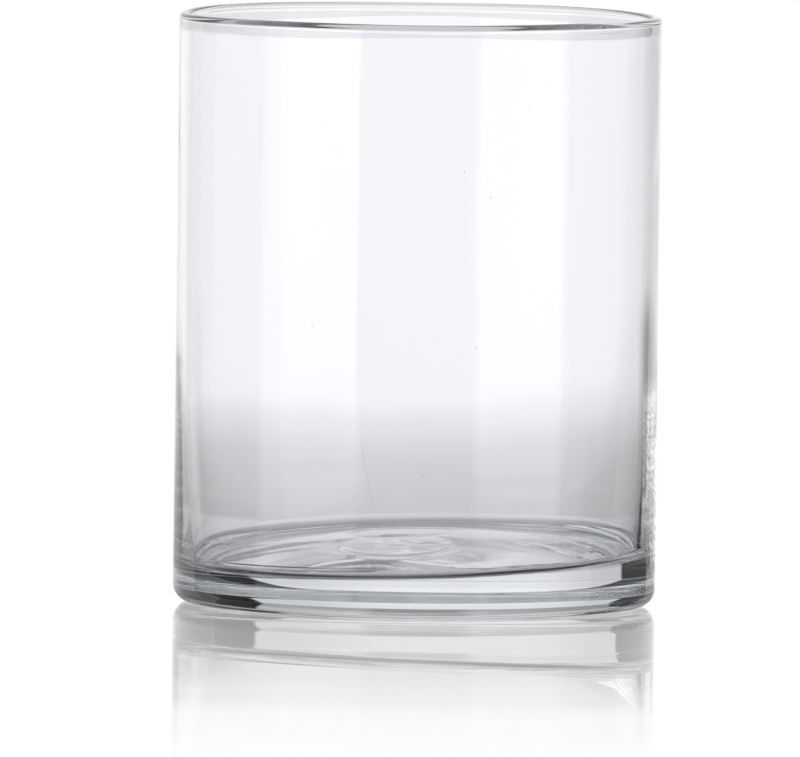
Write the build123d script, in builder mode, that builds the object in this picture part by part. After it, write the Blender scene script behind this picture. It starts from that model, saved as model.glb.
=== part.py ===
"""Glass cylinder vase: one body of clear blown soda-lime glass with a heavy base.

The outside is a straight cylinder with a rounded heel, and the rim is a fire-polished bead. The wall is
even from the rim down to a little below half height, then thickens smoothly towards the base and turns
through a cove into the floor. The floor is out of level, as it is on a vase blown by hand into a mould,
so the base is thicker at the back and on the right. The floor is domed in the middle, and the underside
is slightly hollowed, so that the vase stands on a flat ring.

Millimetres. The origin is the centre of the foot on the table, +Z is up, -Y is the front and +X is the
right-hand side.
"""

from build123d import *
import os

# Driving dimensions
OUTER_DIAMETER = 124.2
HEIGHT = 152.4
WALL = 2.8
BASE_THICKNESS = 11.8

# Outside
OUTER_RADIUS = OUTER_DIAMETER / 2
HEEL_RADIUS = 4.6
HOLLOW_RADIUS = 46.0
HOLLOW_DEPTH = 0.5

# A little under half the wall, so that a hair of flat is left between the two roundings of the rim.
RIM_RADIUS = 0.48 * WALL

# Inside. The bore is straight from the rim down to GATHER_START. Below that the wall thickens, and the bore
# would be narrower by GATHER if it went on down to the table.
MOUTH_RADIUS = OUTER_RADIUS - WALL
GATHER_START = 60.0
GATHER = 3.0

# The floor rises towards the back and towards the right, in degrees.
RISE_TO_BACK = 1.9
RISE_TO_RIGHT = 2.0
COVE_RADIUS = 3.2
DOME_RADIUS = 52.0
DOME_HEIGHT = 3.6

# The cavity runs this far above the rim, so that it opens the mouth cleanly.
OVERSHOOT = 5.0
CAVITY_TOP = HEIGHT + OVERSHOOT

# The tilted plane of the inner floor, and the section plane through it whose Y axis is its normal.
floor_plane = Plane.XY.offset(BASE_THICKNESS).rotated((RISE_TO_BACK, -RISE_TO_RIGHT, 0))
floor_section = Plane(floor_plane.origin, x_dir=floor_plane.x_dir, z_dir=-floor_plane.y_dir)


# The space inside: a domed floor turned about the floor's own tilted axis, cut to the round of the bore
# about the upright axis, and coved where the two meet.
with BuildPart() as cavity:
    with BuildSketch(floor_section):
        with BuildLine():
            TangentArc((0, DOME_HEIGHT), (DOME_RADIUS, 0), tangent=(1, 0))
            Polyline(
                (DOME_RADIUS, 0),
                (OUTER_DIAMETER, 0),
                (OUTER_DIAMETER, 2 * HEIGHT),
                (0, 2 * HEIGHT),
                (0, DOME_HEIGHT),
            )
        make_face()
    revolve(axis=Axis(floor_plane.origin, floor_plane.z_dir))
    with BuildSketch(Plane.XZ):
        with BuildLine():
            TangentArc((MOUTH_RADIUS, GATHER_START), (MOUTH_RADIUS - GATHER, 0), tangent=(0, -1))
            Polyline(
                (MOUTH_RADIUS - GATHER, 0),
                (0, 0),
                (0, CAVITY_TOP),
                (MOUTH_RADIUS, CAVITY_TOP),
                (MOUTH_RADIUS, GATHER_START),
            )
        make_face()
    revolve(axis=Axis.Z, mode=Mode.INTERSECT)
    floor_ring = faces().filter_by(GeomType.PLANE).sort_by(Axis.Z)[0]
    fillet(floor_ring.outer_wire().edges(), radius=COVE_RADIUS)


# The glass: the outside turned about the upright axis, less the space inside.
with BuildPart() as glass_vase:
    with BuildSketch(Plane.XZ):
        with BuildLine():
            TangentArc((0, HOLLOW_DEPTH), (HOLLOW_RADIUS, 0), tangent=(1, 0))
            Polyline(
                (HOLLOW_RADIUS, 0),
                (OUTER_RADIUS, 0),
                (OUTER_RADIUS, HEIGHT),
                (0, HEIGHT),
                (0, HOLLOW_DEPTH),
            )
        make_face()
    revolve(axis=Axis.Z)
    heel_edge = edges().filter_by(GeomType.CIRCLE).group_by(Axis.Z)[0].sort_by(SortBy.RADIUS)[-1]
    fillet(heel_edge, radius=HEEL_RADIUS)
    add(cavity.part, mode=Mode.SUBTRACT)
    rim_edges = edges().filter_by(GeomType.CIRCLE).group_by(Axis.Z)[-1]
    fillet(rim_edges, radius=RIM_RADIUS)

glass_vase.part.label = "glass_vase"

os.makedirs("parts", exist_ok=True)
export_step(glass_vase.part, "parts/glass_vase.step")
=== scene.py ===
"""Looks of the glass cylinder vase: one blown body of clear glass on a pale glossy table.

The glass is lathed here ring by ring, in millimetres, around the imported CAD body. It has the same
outside, wall, cove, tilted floor and hollow foot as the CAD part, plus the small unevenness that makes
blown glass look like glass: a wavy inner wall, a rim that isn't quite level, draw lines, and a few
seeds of trapped air.
"""
import math
import random

import bpy
import numpy as np
from mathutils import Matrix, Vector


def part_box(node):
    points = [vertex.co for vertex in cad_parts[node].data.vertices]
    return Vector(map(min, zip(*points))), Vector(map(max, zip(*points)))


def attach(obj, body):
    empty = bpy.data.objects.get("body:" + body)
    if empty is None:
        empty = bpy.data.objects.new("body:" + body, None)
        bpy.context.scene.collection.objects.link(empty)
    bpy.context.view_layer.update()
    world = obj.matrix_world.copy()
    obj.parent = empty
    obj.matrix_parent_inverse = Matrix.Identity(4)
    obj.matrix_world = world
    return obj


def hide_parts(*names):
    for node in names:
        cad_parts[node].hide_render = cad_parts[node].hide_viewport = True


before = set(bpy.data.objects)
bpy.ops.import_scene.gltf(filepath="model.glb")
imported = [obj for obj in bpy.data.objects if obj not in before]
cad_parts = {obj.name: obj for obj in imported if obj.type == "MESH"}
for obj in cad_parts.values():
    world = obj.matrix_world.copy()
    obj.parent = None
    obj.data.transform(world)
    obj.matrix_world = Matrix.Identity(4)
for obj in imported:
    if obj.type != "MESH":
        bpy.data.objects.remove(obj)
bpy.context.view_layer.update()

MM = 0.001
NODE = "glass_vase"

# Sizes of the glass in millimetres. The first two come from the frame. The rest are the design's own.
low_corner, high_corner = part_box(NODE)
OUTER_RADIUS = (high_corner[0] - low_corner[0]) / 2 / MM
HEIGHT = (high_corner[2] - low_corner[2]) / MM
WALL = 2.8
MOUTH_RADIUS = OUTER_RADIUS - WALL
GATHER_START = 60.0
GATHER = 3.0
HEEL_RADIUS = 4.6
HOLLOW_RADIUS = 46.0
HOLLOW_DEPTH = 0.5
BASE_THICKNESS = 11.8
COVE_RADIUS = 3.2
RISE_TO_BACK = math.radians(1.9)
RISE_TO_RIGHT = math.radians(2.0)
DOME_RADIUS = 52.0
DOME_HEIGHT = 3.6
DOME_POWER = 1.3
# A shallow ring pressed into the floor.
MARK_CENTRE = (-4.0, 15.0)
MARK_RADIUS = 14.8
MARK_WIDTH = 2.2
MARK_HEIGHT = 0.22

# Fineness of the mesh: points round the axis, and rings along each stretch of the outline.
SEGMENTS = 360
HOLLOW_RINGS = 18
FOOT_RINGS = 7
HEEL_RINGS = 20
OUTSIDE_RINGS = 40
RIM_RINGS = 25
INSIDE_RINGS = 56
COVE_RINGS = 24
FLOOR_RINGS = 44
# The innermost ring of the hollow underside, as a share of its radius.
HOLLOW_FIRST = 0.06


class Waves:
    """A smooth, fixed random ripple over a surface that runs round the axis, in about -1..1."""

    def __init__(self, seed, turns, pitch, terms):
        draw = random.Random(seed)
        self.terms = []
        for _ in range(terms):
            around = draw.randint(turns[0], turns[1])
            along = draw.uniform(-1, 1) * 2 * math.pi / pitch
            phase = draw.uniform(0, 2 * math.pi)
            self.terms.append((around, along, phase))

    def __call__(self, angle, distance):
        total = 0.0
        for around, along, phase in self.terms:
            total = total + np.cos(around * angle + along * distance + phase)
        return total / math.sqrt(len(self.terms))


def graded(start, end, count, ease=2.0):
    """Values from start to end, close together at both ends, where a flat stretch meets a round one."""
    t = np.linspace(0, 1, count)
    eased = np.where(t < 0.5, 0.5 * (2 * t) ** ease, 1 - 0.5 * (2 - 2 * t) ** ease)
    return start + (end - start) * eased


def floor_height(x, y):
    """Height of the inner floor, with its tilt, its dome and its ring mark."""
    tilt = BASE_THICKNESS + x * math.tan(RISE_TO_RIGHT) + y * math.tan(RISE_TO_BACK)
    from_centre = np.sqrt(x * x + y * y)
    dome = DOME_HEIGHT * np.clip(1 - (from_centre / DOME_RADIUS) ** 2, 0, 1) ** DOME_POWER
    from_mark = np.hypot(x - MARK_CENTRE[0], y - MARK_CENTRE[1])
    mark = MARK_HEIGHT * np.exp(-((from_mark - MARK_RADIUS) / MARK_WIDTH) ** 2)
    return tilt + dome - mark


inner_wave = Waves(seed=11, turns=(1, 5), pitch=160.0, terms=7)
inner_ripple = Waves(seed=5, turns=(6, 16), pitch=60.0, terms=9)
outer_wave = Waves(seed=3, turns=(2, 7), pitch=120.0, terms=6)
rim_wave = Waves(seed=8, turns=(1, 6), pitch=1000.0, terms=6)
floor_wave = Waves(seed=21, turns=(1, 4), pitch=26.0, terms=7)
cove_wave = Waves(seed=17, turns=(3, 14), pitch=40.0, terms=8)

# How high the ripples stand, in millimetres.
INNER_WAVE = 0.12
INNER_RIPPLE = 0.03
OUTER_WAVE = 0.02
RIM_WAVE = 0.15
FLOOR_WAVE = 0.015
COVE_WAVE = 0.05
# The rim's middle level lies this many times RIM_WAVE below the full height.
RIM_DROP = 1.6
# The ripples of the inner wall grow from nothing at the rim to their full height this far down.
SETTLE_DEPTH = 20.0
# The ripple of the hollow underside, as a share of its depth.
HOLLOW_WAVE = 0.1
# The fire-polished rim swells inwards by BEAD, more or less by the share in BEAD_WAVE.
BEAD = 0.14
BEAD_WAVE = 0.5
BEAD_DEPTH = 2.2
BEAD_SPAN = 1.2
# How fast the cove's bumps die out across the floor, as a power.
COVE_WAVE_FADE = 6


def wall_top(angle):
    """Height at which the wall ends and the rounding of the rim begins. It dips here and there."""
    return HEIGHT - WALL / 2 + RIM_WAVE * (rim_wave(angle, 0) - RIM_DROP)


def outside_rings(angle):
    """Rings (radius, height) from the middle of the hollow underside, round the heel, up to the rim."""
    rings = []
    for t in np.linspace(HOLLOW_FIRST, 1, HOLLOW_RINGS):
        radius = HOLLOW_RADIUS * t
        ripple = 1 + HOLLOW_WAVE * floor_wave(angle, radius)
        rings.append((radius, HOLLOW_DEPTH * (1 - t * t) * ripple))
    for radius in graded(HOLLOW_RADIUS, OUTER_RADIUS - HEEL_RADIUS, FOOT_RINGS)[1:-1]:
        rings.append((radius, 0 * angle))
    for turn in np.linspace(0, math.pi / 2, HEEL_RINGS):
        radius = OUTER_RADIUS - HEEL_RADIUS + HEEL_RADIUS * math.sin(turn)
        rings.append((radius, HEEL_RADIUS - HEEL_RADIUS * math.cos(turn)))
    for t in graded(0, 1, OUTSIDE_RINGS)[1:-1]:
        height = HEEL_RADIUS + (wall_top(angle) - HEEL_RADIUS) * t
        fade = math.sin(math.pi * t) ** 0.5
        rings.append((OUTER_RADIUS - OUTER_WAVE * fade * (1 + outer_wave(angle, height)), height))
    return rings


def rim_rings(angle):
    """The round of the rim, from the outer wall over the top to the inner wall."""
    rings = []
    for turn in np.linspace(0, math.pi, RIM_RINGS):
        radius = OUTER_RADIUS - WALL / 2 + WALL / 2 * math.cos(turn)
        rings.append((radius, wall_top(angle) + WALL / 2 * math.sin(turn)))
    return rings


def inner_radius(angle, height):
    """Radius of the inner wall, with the gather towards the base, the rim's bead and the ripples."""
    depth = HEIGHT - height
    settle = np.clip(depth / SETTLE_DEPTH, 0, 1)
    gather = GATHER * np.clip(1 - height / GATHER_START, 0, 1) ** 2
    swell = BEAD * (1 + BEAD_WAVE * rim_wave(angle, 0))
    bead = swell * np.exp(-((depth - BEAD_DEPTH) / BEAD_SPAN) ** 2)
    ripple = INNER_WAVE * inner_wave(angle, height) + INNER_RIPPLE * inner_ripple(angle, height)
    return MOUTH_RADIUS - gather - bead + settle * ripple


def inside_rings(angle):
    """The inner wall from below the rim down to the cove, the cove, and the floor in to the centre."""
    rings = []
    wall_foot = COVE_RADIUS + floor_height(
        MOUTH_RADIUS * np.cos(angle), MOUTH_RADIUS * np.sin(angle)
    )
    top = wall_top(angle)
    for t in graded(0, 1, INSIDE_RINGS)[1:-1]:
        height = top + (wall_foot - top) * t
        rings.append((inner_radius(angle, height), height))
    foot_radius = inner_radius(angle, wall_foot)
    for turn in np.linspace(0, math.pi / 2, COVE_RINGS):
        radius = foot_radius - COVE_RADIUS * (1 - math.cos(turn))
        bump = COVE_WAVE * math.sin(turn) ** 2 * cove_wave(angle, radius)
        floor = floor_height(radius * np.cos(angle), radius * np.sin(angle))
        rings.append((radius, floor + COVE_RADIUS * (1 - math.sin(turn)) + bump))
    floor_edge = foot_radius - COVE_RADIUS
    for t in np.linspace(0, 1, FLOOR_RINGS)[1:-1]:
        radius = floor_edge * (1 - t)
        floor = floor_height(radius * np.cos(angle), radius * np.sin(angle))
        edge_bump = COVE_WAVE * (1 - t) ** COVE_WAVE_FADE * cove_wave(angle, radius)
        ripple = FLOOR_WAVE * (1 - t) * floor_wave(angle, radius)
        rings.append((radius, floor + edge_bump + ripple))
    return rings


# Seeds: bubbles of air drawn out in the glass, halfway through the wall. Each is (bearing of its middle
# in degrees, counted from the right and negative at the front; height; half width; half length; lean
# in degrees), in millimetres. The lean turns its length from upright.
SEEDS = (
    (-140.8, 131.9, 0.12, 0.16, 0),
    (-140.0, 119.5, 0.11, 0.22, 5),
    (-79.1, 114.6, 0.13, 0.26, 20),
    (-37.2, 96.4, 0.12, 0.26, 10),
    (-143.5, 60.1, 0.14, 0.28, 85),
    (-88.1, 37.1, 0.13, 0.20, 0),
    (-101.7, 37.5, 0.035, 8.5, -12),
)
# Drawn at random, by (how many, the limits of each of a seed's five numbers): fine level scratches and
# flattened seeds on the right, where the glass was handled hot, and then stray seeds round the back.
RANDOM_SEED = 29
DRAWN_SEEDS = (
    (26, ((-16.0, 10.0), (14.0, 54.0), (0.08, 0.16), (0.5, 2.2), (80, 100))),
    (16, ((20, 160), (30, 140), (0.08, 0.14), (0.12, 0.3), (0, 30))),
)
# A seed is this deep, against its width.
SEED_FLATNESS = 0.7
SEED_RINGS = 9
SEED_SIDES = 10


def seed_rings(bearing, height, half_width, half_length, lean):
    """Points of one drawn-out bubble, as rings along its length."""
    bearing = math.radians(bearing)
    lean = math.radians(lean)
    upward = np.array([0, 0, 1])
    outward = np.array([math.cos(bearing), math.sin(bearing), 0])
    around = np.array([-math.sin(bearing), math.cos(bearing), 0])
    along = math.cos(lean) * upward + math.sin(lean) * around
    across = math.cos(lean) * around - math.sin(lean) * upward
    middle = (OUTER_RADIUS - WALL / 2) * outward + np.array([0, 0, height])
    rings = []
    for turn in np.linspace(0, math.pi, SEED_RINGS)[1:-1]:
        level = middle - half_length * math.cos(turn) * along
        # A long bubble follows the round of the wall.
        sweep = half_length * math.cos(turn) * math.sin(lean)
        level = level - outward * sweep * sweep / (2 * OUTER_RADIUS)
        ring = []
        for spin in np.linspace(0, 2 * math.pi, SEED_SIDES, endpoint=False):
            side = math.cos(spin) * across + SEED_FLATNESS * math.sin(spin) * outward
            ring.append(level + half_width * math.sin(turn) * side)
        rings.append(ring)
    return rings


def add_seed(points, faces, seed):
    """Add one bubble to the vase's points and faces. Its faces look inwards: the air is inside it."""
    rings = seed_rings(*seed)
    first = len(points)
    count = len(rings[0])
    for ring in rings:
        points.extend(ring)
    for level in range(len(rings) - 1):
        for i in range(count):
            j = (i + 1) % count
            a = first + level * count
            b = a + count
            faces.append((a + i, b + i, b + j, a + j))
    last = first + (len(rings) - 1) * count
    faces.append(tuple(first + i for i in range(count)))
    faces.append(tuple(last + i for i in reversed(range(count))))


def all_seeds():
    draw = random.Random(RANDOM_SEED)
    seeds = list(SEEDS)
    for count, limits in DRAWN_SEEDS:
        for _ in range(count):
            seeds.append(tuple(draw.uniform(*ends) for ends in limits))
    return seeds


def vase_mesh():
    """One closed mesh: outside, rim and inside rings joined by quads, with a fan at each pole."""
    angle = np.linspace(0, 2 * math.pi, SEGMENTS, endpoint=False)
    rings = outside_rings(angle) + rim_rings(angle) + inside_rings(angle)
    points = []
    for radius, height in rings:
        radius = radius + 0 * angle
        height = height + 0 * angle
        points.append(np.stack([radius * np.cos(angle), radius * np.sin(angle), height], axis=1))
    vertices = np.concatenate(points)
    under_pole = len(vertices)
    floor_pole = under_pole + 1
    poles = np.array([[0, 0, HOLLOW_DEPTH], [0, 0, floor_height(0.0, 0.0)]])
    vertices = np.concatenate([vertices, poles])
    faces = []
    for ring in range(len(rings) - 1):
        for i in range(SEGMENTS):
            j = (i + 1) % SEGMENTS
            a = ring * SEGMENTS
            b = a + SEGMENTS
            faces.append((a + i, a + j, b + j, b + i))
    last = (len(rings) - 1) * SEGMENTS
    for i in range(SEGMENTS):
        j = (i + 1) % SEGMENTS
        faces.append((under_pole, j, i))
        faces.append((floor_pole, last + i, last + j))
    points = vertices.tolist()
    for seed in all_seeds():
        add_seed(points, faces, seed)
    mesh = bpy.data.meshes.new("vase_glass")
    mesh.from_pydata((np.array(points) * MM).tolist(), [], faces)
    mesh.polygons.foreach_set("use_smooth", [True] * len(mesh.polygons))
    mesh.validate()
    return mesh


def link(obj):
    bpy.context.scene.collection.objects.link(obj)
    return obj


class Nodes:
    """Short way to build a node tree. Where a method takes a value, it may be another node's output."""

    def __init__(self, owner):
        owner.use_nodes = True
        self.tree = owner.node_tree
        self.tree.nodes.clear()

    def add(self, kind, inputs=None, **settings):
        node = self.tree.nodes.new(kind)
        for name, value in settings.items():
            setattr(node, name, value)
        for name, value in (inputs or {}).items():
            if isinstance(value, bpy.types.NodeSocket):
                self.tree.links.new(value, node.inputs[name])
            else:
                node.inputs[name].default_value = value
        return node

    def math(self, operation, a, b=0.0, clamp=False):
        node = self.add("ShaderNodeMath", {0: a, 1: b}, operation=operation)
        node.use_clamp = clamp
        return node.outputs[0]

    def product(self, first, *others):
        for other in others:
            first = self.math("MULTIPLY", first, other)
        return first

    def vector(self, operation, a, b=None):
        """The node of a vector operation."""
        inputs = {0: a} if b is None else {0: a, 1: b}
        return self.add("ShaderNodeVectorMath", inputs, operation=operation)

    def mix(self, share, a, b):
        """A where the share is 0, b where it is 1."""
        inputs = {"Factor": share, "A": a, "B": b}
        return self.add("ShaderNodeMix", inputs, data_type="FLOAT").outputs[0]

    def step(self, value, ends, heights=(0.0, 1.0), smooth=False):
        """From the first height at the first end to the second height at the second end."""
        inputs = {"Value": value}
        inputs["From Min"], inputs["From Max"] = ends
        inputs["To Min"], inputs["To Max"] = heights
        kind = "SMOOTHSTEP" if smooth else "LINEAR"
        return self.add("ShaderNodeMapRange", inputs, interpolation_type=kind).outputs[0]

    def band(self, value, middle, half_width, softness):
        """1 inside a band of values, 0 outside it."""
        away = self.math("ABSOLUTE", self.math("SUBTRACT", value, middle))
        edge = self.math("SUBTRACT", half_width, away)
        return self.step(edge, (-softness / 2, softness / 2), smooth=True)

    def ramp(self, value, stops, reach=1.0):
        """A smooth ramp of (place, grey) stops. The value is a share of reach, the furthest place."""
        node = self.add("ShaderNodeValToRGB", {"Fac": value})
        ramp = node.color_ramp
        ramp.interpolation = "EASE"
        while len(ramp.elements) < len(stops):
            ramp.elements.new(0.5)
        for element, (place, grey) in zip(ramp.elements, stops):
            element.position = place / reach
            element.color = (grey, grey, grey, 1)
        return node.outputs["Color"]

    def depth(self, kind):
        """1 for a ray that has been through this kind of bounce, and 0 for any other."""
        return self.math("MINIMUM", self.add("ShaderNodeLightPath").outputs[kind], 1.0)

    def azimuth(self, right, along):
        return self.math("DEGREES", self.math("ARCTAN2", right, along))


# The glass: its colour at the surface and inside, and how dense it is inside, per metre.
GLASS_IOR = 1.51
GLASS_SURFACE = (0.982, 0.986, 0.995, 1)
GLASS_INSIDE = (0.82, 0.87, 0.90, 1)
GLASS_DENSITY = 1.8
# Draw lines: fine round the wall and long up it. Their height is in metres.
DRAW_LINES = (220.0, 220.0, 14.0)
DRAW_LINE_STRENGTH = 0.04
DRAW_LINE_HEIGHT = 0.0002
# Handling dulls the glass in patches, to this roughness at most.
HANDLING_SCALE = 60.0
HANDLING_ROUGHNESS = 0.012


def glass_material():
    """Clear soda-lime glass: sharp, with faint draw lines and a slight cool tint where it is thick."""
    material = bpy.data.materials.new("clear_glass")
    nodes = Nodes(material)
    place = nodes.add("ShaderNodeTexCoord").outputs["Object"]
    drawn_out = nodes.add("ShaderNodeMapping", {"Vector": place, "Scale": DRAW_LINES}).outputs[0]
    streaks = nodes.add("ShaderNodeTexNoise", {"Vector": drawn_out, "Scale": 1.0, "Detail": 3.0})
    bump = nodes.add(
        "ShaderNodeBump",
        {
            "Height": streaks.outputs["Fac"],
            "Strength": DRAW_LINE_STRENGTH,
            "Distance": DRAW_LINE_HEIGHT,
        },
    )
    handling = nodes.add(
        "ShaderNodeTexNoise", {"Vector": place, "Scale": HANDLING_SCALE, "Detail": 4.0}
    )
    shader = nodes.add(
        "ShaderNodeBsdfPrincipled",
        {
            "Base Color": GLASS_SURFACE,
            "Roughness": nodes.step(handling.outputs["Fac"], (0.0, 1.0), (0.0, HANDLING_ROUGHNESS)),
            "IOR": GLASS_IOR,
            "Transmission Weight": 1.0,
            "Normal": bump.outputs[0],
        },
    )
    absorb = nodes.add(
        "ShaderNodeVolumeAbsorption", {"Color": GLASS_INSIDE, "Density": GLASS_DENSITY}
    )
    nodes.add(
        "ShaderNodeOutputMaterial",
        {"Surface": shader.outputs[0], "Volume": absorb.outputs[0]},
    )
    return material


# The studio, as a ray that has been through the glass sees it. It turns with the camera: azimuth is 0
# straight behind the vase, and grows to the right. Steepness is the sine of a ray's elevation.
# Each flag is a dark card (middle azimuth, half width, darkness).
FLAGS = ((40.0, 8.0, 0.99), (67.0, 19.0, 0.90), (-60.5, 11.5, 0.94), (-84.5, 12.5, 0.95))
FLAG_SOFTNESS = 1.5
# The cards lean together towards their tops: how much more an azimuth counts, for a ray that looks up.
FLAG_LEAN = 0.8
# Each softbox is (middle azimuth, half width, added brightness). They reach up to a steepness.
SOFTBOXES = ((-125.0, 26.0, 0.5), (128.0, 22.0, 0.5))
SOFTBOX_SOFTNESS = 2.0
SOFTBOX_RISE = 0.25
SOFTBOX_RISE_SOFTNESS = 0.1
# The backdrop: (steepness, brightness).
BACKDROP = ((0.0, 0.85), (0.12, 0.85), (0.34, 0.95), (0.60, 1.05), (1.0, 1.05))
# The ceiling takes over from the backdrop between two steepnesses. Its light is one thing over the
# camera and another towards the back, and turns from one to the other between these shares of a ray
# that run along the camera's heading.
CEILING_FROM = (0.60, 0.72)
CEILING_LIGHT = (1.2, 0.5)
CEILING_TURN = (-0.3, -0.1)
# The studio is brightest at this azimuth. It starts to dim at the first of SIDE_SPAN degrees from
# there, and has lost SIDE_LOSS at the second.
BRIGHTEST = -9.0
SIDE_SPAN = (10.0, 32.0)
SIDE_LOSS = 0.22
# It is a little cool.
STUDIO_COLOUR = (0.978, 0.986, 1.0, 1)

# What a ray loses when it has been both mirrored and through the glass, as in the vase's reflection: in
# the studio, and as painted shade on the table's glow. On the table it counts within STRAIGHT_BEHIND
# degrees of straight behind the vase, because elsewhere it is the wall that has mirrored the ray.
MIRRORED_LOSS = 0.15
TABLE_LOSS = 0.30
STRAIGHT_BEHIND = 9.0
STRAIGHT_BEHIND_SOFTNESS = 4.0

# The table's settings are for a level camera. They fade with the upward part of the camera's view: they
# have gone at the first of these, and are whole at the second.
LOOKING_DOWN = (-0.20, -0.10)
# What is there once they have gone: the table's painted grey through the glass, how far the dark cards'
# painted shade counts on the table, and how much of the mirroring is left in it.
PLAIN_TABLE = 0.95
PLAIN_FLAGGED = 0.7
PLAIN_MIRROR = 0.12

# The table. Through the glass it is a glow of painted light, not a lit surface. Distances are from the
# middle of the vase, in metres. The ramps end at TABLE_REACH.
TABLE_HALF_SIZE = 6.0
TABLE_IOR = 1.5
TABLE_REACH = 2.0
# A painted sheen: the studio's reflection, painted into the table's glow where a ray grazes it, as
# (distance, grey).
TABLE_PAINTED_SHEEN = (
    (0.0, 0.77),
    (0.168, 0.77),
    (0.20, 0.86),
    (0.32, 0.94),
    (0.505, 1.08),
    (0.72, 1.23),
)
# Painted highlight: the painted sheen is brighter near the vase, by a factor that falls to 1 between
# two distances.
FOOT_GLOW = 1.5
FOOT_GLOW_ENDS = (0.144, 0.154)
# To the right of straight behind, the distances of the painted sheen are stretched: by how much, as a
# share of HORIZON_FURTHEST, against the azimuth as a share of HORIZON_SPAN degrees.
HORIZON_SPAN = 12.0
HORIZON_FURTHEST = 2.0
HORIZON_RISE = ((0.0, 0.5), (0.125, 0.58), (0.33, 0.64), (0.55, 0.93), (0.83, 1.0))
# Painted shade: the table's grey where a ray meets it steeply, as (distance, grey), dim near the vase
# and brighter far off. It is darkest just outside the foot, as a painted shadow.
TABLE_PAINTED_GREY = (
    (0.0, 0.60),
    (0.058, 0.60),
    (0.066, 0.22),
    (0.08, 0.30),
    (0.10, 0.60),
    (0.19, 0.62),
    (0.32, 0.66),
    (0.72, 1.0),
)
# That painted shade is darker still on these bearings from the vase, as painted shadows beside the
# foot: (middle, half width, darkness), and the shadows fade out between two distances.
CONTACT_SHADOWS = (
    (78.0, 34.0, 0.93),
    (-92.0, 34.0, 0.93),
    (146.0, 36.0, 0.85),
    (-146.0, 36.0, 0.85),
)
CONTACT_SOFTNESS = 3.0
CONTACT_ENDS = (0.10, 0.16)
# The dark cards stand low and close, so their painted shade darkens the table's glow near the vase
# only: (distance, share).
FLAG_FADE = ((0.0, 1.0), (0.22, 1.0), (0.50, 0.10), (1.0, 0.0))
# Painted shade: darker sectors painted into the table's glow, which the thin wall near an outline bends
# into view. Each is (middle azimuth, half width, softness, darkness, furthest distance).
EDGE_SHADES = (
    (35.0, 18.0, 8.0, 0.16, 9.0),
    (33.0, 8.0, 3.0, 0.55, 1.3),
)
# They end between these shares of their furthest distance, and begin between two distances.
EDGE_SHADE_END = (0.9, 1.1)
EDGE_SHADE_START = (0.15, 0.20)
# How strongly the camera sees the vase mirrored in the table, as (distance, share).
MIRROR_FADE = ((0.0, 0.70), (0.24, 0.66), (0.33, 0.45), (0.40, 0.16), (0.55, 0.04), (1.0, 0.0))

# A painted glint: a patch of the table's glow that shines in the wall at the right-hand outline, where
# a ray is mirrored inside the glass: (middle, half width, softness) of its azimuth and of its distance.
# Noise breaks it up into painted sparkles. The noise between the two values of SPARKLE_NOISE counts for
# the two shares in SPARKLE.
GLINT_AZIMUTH = (19.0, 13.0, 4.0)
GLINT_DISTANCE = (0.43, 0.26, 0.1)
GLINT_STRENGTH = 1.6
GLINT_SCALE = 45.0
SPARKLE_NOISE = (0.42, 0.58)
SPARKLE = (0.1, 1.0)


def heading(nodes):
    """The camera's level direction (x, y), and 1 for a camera that looks nearly level."""
    ahead = nodes.add(
        "ShaderNodeVectorTransform",
        {0: (0, 0, 1)},
        vector_type="VECTOR",
        convert_from="CAMERA",
        convert_to="WORLD",
    ).outputs[0]
    level = nodes.vector("MULTIPLY", ahead, (1, 1, 0)).outputs[0]
    level = nodes.vector("NORMALIZE", level).outputs[0]
    split = nodes.add("ShaderNodeSeparateXYZ", {0: level})
    height = nodes.add("ShaderNodeSeparateXYZ", {0: ahead}).outputs[2]
    return split.outputs[0], split.outputs[1], nodes.step(height, LOOKING_DOWN)


def turned(nodes, vector):
    """The vector's parts to the right of the camera's heading, along it, and up."""
    x, y, z = nodes.add("ShaderNodeSeparateXYZ", {0: vector}).outputs
    ahead_x, ahead_y, _ = heading(nodes)
    right = nodes.math("SUBTRACT", nodes.product(x, ahead_y), nodes.product(y, ahead_x))
    along = nodes.math("ADD", nodes.product(x, ahead_x), nodes.product(y, ahead_y))
    return right, along, z


def ray_direction(nodes):
    """The direction in which the ray travels."""
    incoming = nodes.add("ShaderNodeNewGeometry").outputs["Incoming"]
    return nodes.vector("MULTIPLY", incoming, (-1, -1, -1)).outputs[0]


def darkened(nodes, light, shade):
    """The light that is left under a shade of 0..1."""
    return nodes.math("MULTIPLY", light, nodes.math("SUBTRACT", 1.0, shade))


def studio_light(nodes, direction, flagged=1.0):
    """Brightness of the studio in a direction. Flagged is how far the dark cards count."""
    right, along, up = turned(nodes, direction)
    azimuth = nodes.azimuth(right, along)
    light = nodes.ramp(nodes.math("ABSOLUTE", up), BACKDROP)
    ceiling = nodes.step(along, CEILING_TURN, CEILING_LIGHT)
    light = nodes.mix(nodes.step(up, CEILING_FROM), light, ceiling)
    off_centre = nodes.math("ABSOLUTE", nodes.math("SUBTRACT", azimuth, BRIGHTEST))
    side = nodes.step(off_centre, SIDE_SPAN, (1.0, 1.0 - SIDE_LOSS), smooth=True)
    light = nodes.product(light, side)
    upward = nodes.product(nodes.math("MAXIMUM", up, 0.0), FLAG_LEAN)
    leaned = nodes.product(azimuth, nodes.math("ADD", 1.0, upward))
    for middle, half_width, darkness in FLAGS:
        card = nodes.band(leaned, middle, half_width, FLAG_SOFTNESS)
        light = darkened(nodes, light, nodes.product(card, darkness, flagged))
    for middle, half_width, brightness in SOFTBOXES:
        box = nodes.band(azimuth, middle, half_width, SOFTBOX_SOFTNESS)
        rise = nodes.band(up, 0.0, SOFTBOX_RISE, SOFTBOX_RISE_SOFTNESS)
        light = nodes.math("ADD", light, nodes.product(box, brightness, rise))
    return light


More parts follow.
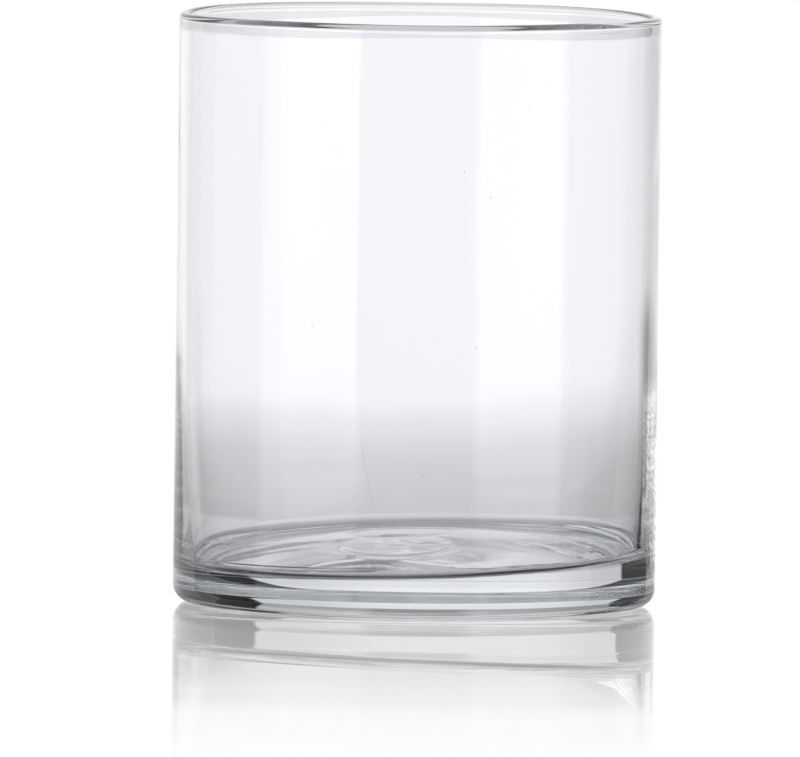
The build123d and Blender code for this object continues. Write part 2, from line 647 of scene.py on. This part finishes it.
def kept_after_mirror(nodes, loss):
    """The share of the light left on a path that has been both mirrored and through the glass."""
    both = nodes.product(nodes.depth("Glossy Depth"), nodes.depth("Transmission Depth"))
    return nodes.math("SUBTRACT", 1.0, nodes.product(both, loss))


def make_world():
    world = bpy.data.worlds.new("studio")
    bpy.context.scene.world = world
    nodes = Nodes(world)
    light = studio_light(nodes, ray_direction(nodes))
    light = nodes.product(light, kept_after_mirror(nodes, MIRRORED_LOSS))
    # Everything not seen through the glass is plain white: the background, and its mirror image in the
    # table.
    past = nodes.math("SUBTRACT", 1.0, nodes.depth("Transmission Depth"))
    colour = nodes.add(
        "ShaderNodeMixRGB", {"Fac": past, "Color1": STUDIO_COLOUR, "Color2": (1, 1, 1, 1)}
    )
    background = nodes.add(
        "ShaderNodeBackground",
        {"Color": colour.outputs[0], "Strength": nodes.mix(past, light, 1.0)},
    )
    nodes.add("ShaderNodeOutputWorld", {"Surface": background.outputs[0]})


def wall_glint(nodes, place, azimuth, distance):
    """How many times brighter the painted glint makes the table's glow, for a ray that the inside of
    the wall has mirrored.
    """
    patch = nodes.product(
        nodes.band(azimuth, *GLINT_AZIMUTH), nodes.band(distance, *GLINT_DISTANCE)
    )
    noise = nodes.add("ShaderNodeTexNoise", {"Vector": place, "Scale": GLINT_SCALE, "Detail": 3.0})
    sparkle = nodes.step(noise.outputs["Fac"], SPARKLE_NOISE, SPARKLE)
    glint = nodes.product(patch, nodes.depth("Glossy Depth"), sparkle, GLINT_STRENGTH)
    return nodes.math("ADD", 1.0, glint)


def table_painted_sheen(nodes, azimuth, distance):
    """The table's painted sheen where a ray grazes it."""
    to_the_right = nodes.math("DIVIDE", azimuth, HORIZON_SPAN, clamp=True)
    stretch = nodes.product(nodes.ramp(to_the_right, HORIZON_RISE), HORIZON_FURTHEST)
    stretched = nodes.math("DIVIDE", distance, stretch)
    reached = nodes.math("DIVIDE", stretched, TABLE_REACH, clamp=True)
    sheen = nodes.ramp(reached, TABLE_PAINTED_SHEEN, TABLE_REACH)
    return nodes.product(sheen, nodes.step(distance, FOOT_GLOW_ENDS, (FOOT_GLOW, 1.0)))


def table_painted_shade(nodes, place, distance, reached):
    """The table's painted shade where a ray meets it steeply, with the painted shadows beside the foot.
    """
    right, along, _ = turned(nodes, place)
    bearing = nodes.azimuth(right, along)
    grey = nodes.ramp(reached, TABLE_PAINTED_GREY, TABLE_REACH)
    beside_foot = nodes.step(distance, CONTACT_ENDS, (1.0, 0.0))
    for middle, half_width, darkness in CONTACT_SHADOWS:
        shadow = nodes.band(bearing, middle, half_width, CONTACT_SOFTNESS)
        grey = darkened(nodes, grey, nodes.product(shadow, darkness, beside_foot))
    return grey


def edge_shaded(nodes, light, azimuth, distance):
    """The table's painted light with the painted darker sectors taken out."""
    started = nodes.step(distance, EDGE_SHADE_START)
    for middle, half_width, softness, darkness, furthest in EDGE_SHADES:
        ends = [share * furthest for share in EDGE_SHADE_END]
        within = nodes.step(distance, ends, (1.0, 0.0))
        sector = nodes.band(azimuth, middle, half_width, softness)
        light = darkened(nodes, light, nodes.product(sector, darkness, within, started))
    return light


def table_material():
    """A table that glows with painted light for rays through the glass: painted sheen, painted shade
    and shadows, and a painted glint. The camera sees white, with the vase mirrored in it.
    """
    material = bpy.data.materials.new("glossy_table_painted_light")
    nodes = Nodes(material)
    place = nodes.add("ShaderNodeNewGeometry").outputs["Position"]
    direction = ray_direction(nodes)
    right, along, _ = turned(nodes, direction)
    azimuth = nodes.azimuth(right, along)
    distance = nodes.vector("LENGTH", place).outputs["Value"]
    reached = nodes.math("DIVIDE", distance, TABLE_REACH, clamp=True)
    low = heading(nodes)[2]

    grazing = nodes.add("ShaderNodeFresnel", {"IOR": TABLE_IOR}).outputs[0]
    painted_shade = table_painted_shade(nodes, place, distance, reached)
    # Painted light on the table's glow: painted shade where a ray meets it steeply, painted sheen where
    # it grazes.
    grey = nodes.mix(grazing, painted_shade, table_painted_sheen(nodes, azimuth, distance))
    grey = nodes.mix(low, PLAIN_TABLE, grey)
    # How far the dark cards' painted shade counts on the table's glow.
    flagged = nodes.mix(low, PLAIN_FLAGGED, nodes.ramp(reached, FLAG_FADE, TABLE_REACH))
    # The table's glow is painted light: its painted grey times the studio's light.
    light = nodes.product(grey, studio_light(nodes, direction, flagged))
    light = edge_shaded(nodes, light, azimuth, distance)
    behind = nodes.band(azimuth, 0.0, STRAIGHT_BEHIND, STRAIGHT_BEHIND_SOFTNESS)
    kept = kept_after_mirror(nodes, nodes.product(behind, TABLE_LOSS))
    light = nodes.product(light, kept, wall_glint(nodes, place, azimuth, distance))
    # An emission that carries the painted light, for rays through the glass.
    painted_light_through_glass = nodes.add("ShaderNodeEmission", {"Color": STUDIO_COLOUR, "Strength": light})

    mirroring = nodes.product(
        nodes.ramp(reached, MIRROR_FADE, TABLE_REACH), nodes.mix(low, PLAIN_MIRROR, 1.0)
    )
    paper = nodes.add("ShaderNodeEmission", {"Strength": 1.0})
    mirror = nodes.add("ShaderNodeBsdfGlossy", {"Color": (1, 1, 1, 1), "Roughness": 0.0})
    open_table = nodes.add(
        "ShaderNodeMixShader", {0: mirroring, 1: paper.outputs[0], 2: mirror.outputs[0]}
    )
    seen = nodes.add("ShaderNodeLightPath").outputs["Is Camera Ray"]
    surface = nodes.add(
        "ShaderNodeMixShader", {0: seen, 1: painted_light_through_glass.outputs[0], 2: open_table.outputs[0]}
    )
    nodes.add("ShaderNodeOutputMaterial", {"Surface": surface.outputs[0]})
    return material


# The table lies this far below the foot, so that the two surfaces never share a plane.
TABLE_GAP = 0.05 * MM


def make_table():
    size = TABLE_HALF_SIZE
    mesh = bpy.data.meshes.new("table")
    corners = [(-size, -size, 0), (size, -size, 0), (size, size, 0), (-size, size, 0)]
    mesh.from_pydata(corners, [], [(0, 1, 2, 3)])
    table = link(bpy.data.objects.new("table", mesh))
    table.location.z = -TABLE_GAP
    mesh.materials.append(table_material())


# The camera: far off with a long lens, a little above the rim, and rolled slightly. It looks at the
# middle of the vase, and the lens is shifted so that the vase stands high in the picture, with its
# reflection below.
CAMERA_DISTANCE = 7.0
CAMERA_ELEVATION = math.radians(3.42)
CAMERA_ROLL = math.radians(0.72)
FRAME_WIDTH = 206.1 * MM
LENS_SHIFT = (-0.0216, -0.0880)
SENSOR_WIDTH = 36.0
CAMERA_REACH = 100.0


def make_camera():
    data = bpy.data.cameras.new("camera")
    data.sensor_width = SENSOR_WIDTH
    data.lens = data.sensor_width * CAMERA_DISTANCE / FRAME_WIDTH
    data.shift_x, data.shift_y = LENS_SHIFT
    data.clip_end = CAMERA_REACH
    camera = link(bpy.data.objects.new("camera", data))
    target = Vector((0, 0, HEIGHT * MM / 2))
    away = Vector((0, -math.cos(CAMERA_ELEVATION), math.sin(CAMERA_ELEVATION)))
    look = (-away).to_track_quat("-Z", "Y").to_matrix().to_4x4()
    roll = Matrix.Rotation(CAMERA_ROLL, 4, "Z")
    camera.matrix_world = Matrix.Translation(target + away * CAMERA_DISTANCE) @ look @ roll
    bpy.context.scene.camera = camera


vase = link(bpy.data.objects.new("vase_glass", vase_mesh()))
vase.data.materials.append(glass_material())
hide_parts(NODE)
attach(vase, "root")

make_world()
make_table()
make_camera()

# A ray in the base is turned back inside the glass many times before it gets out.
BOUNCES = 64
scene = bpy.context.scene
scene.view_settings.view_transform = "Standard"
scene.cycles.max_bounces = BOUNCES
scene.cycles.transmission_bounces = BOUNCES
scene.cycles.glossy_bounces = BOUNCES
scene.cycles.caustics_reflective = True
scene.cycles.caustics_refractive = True
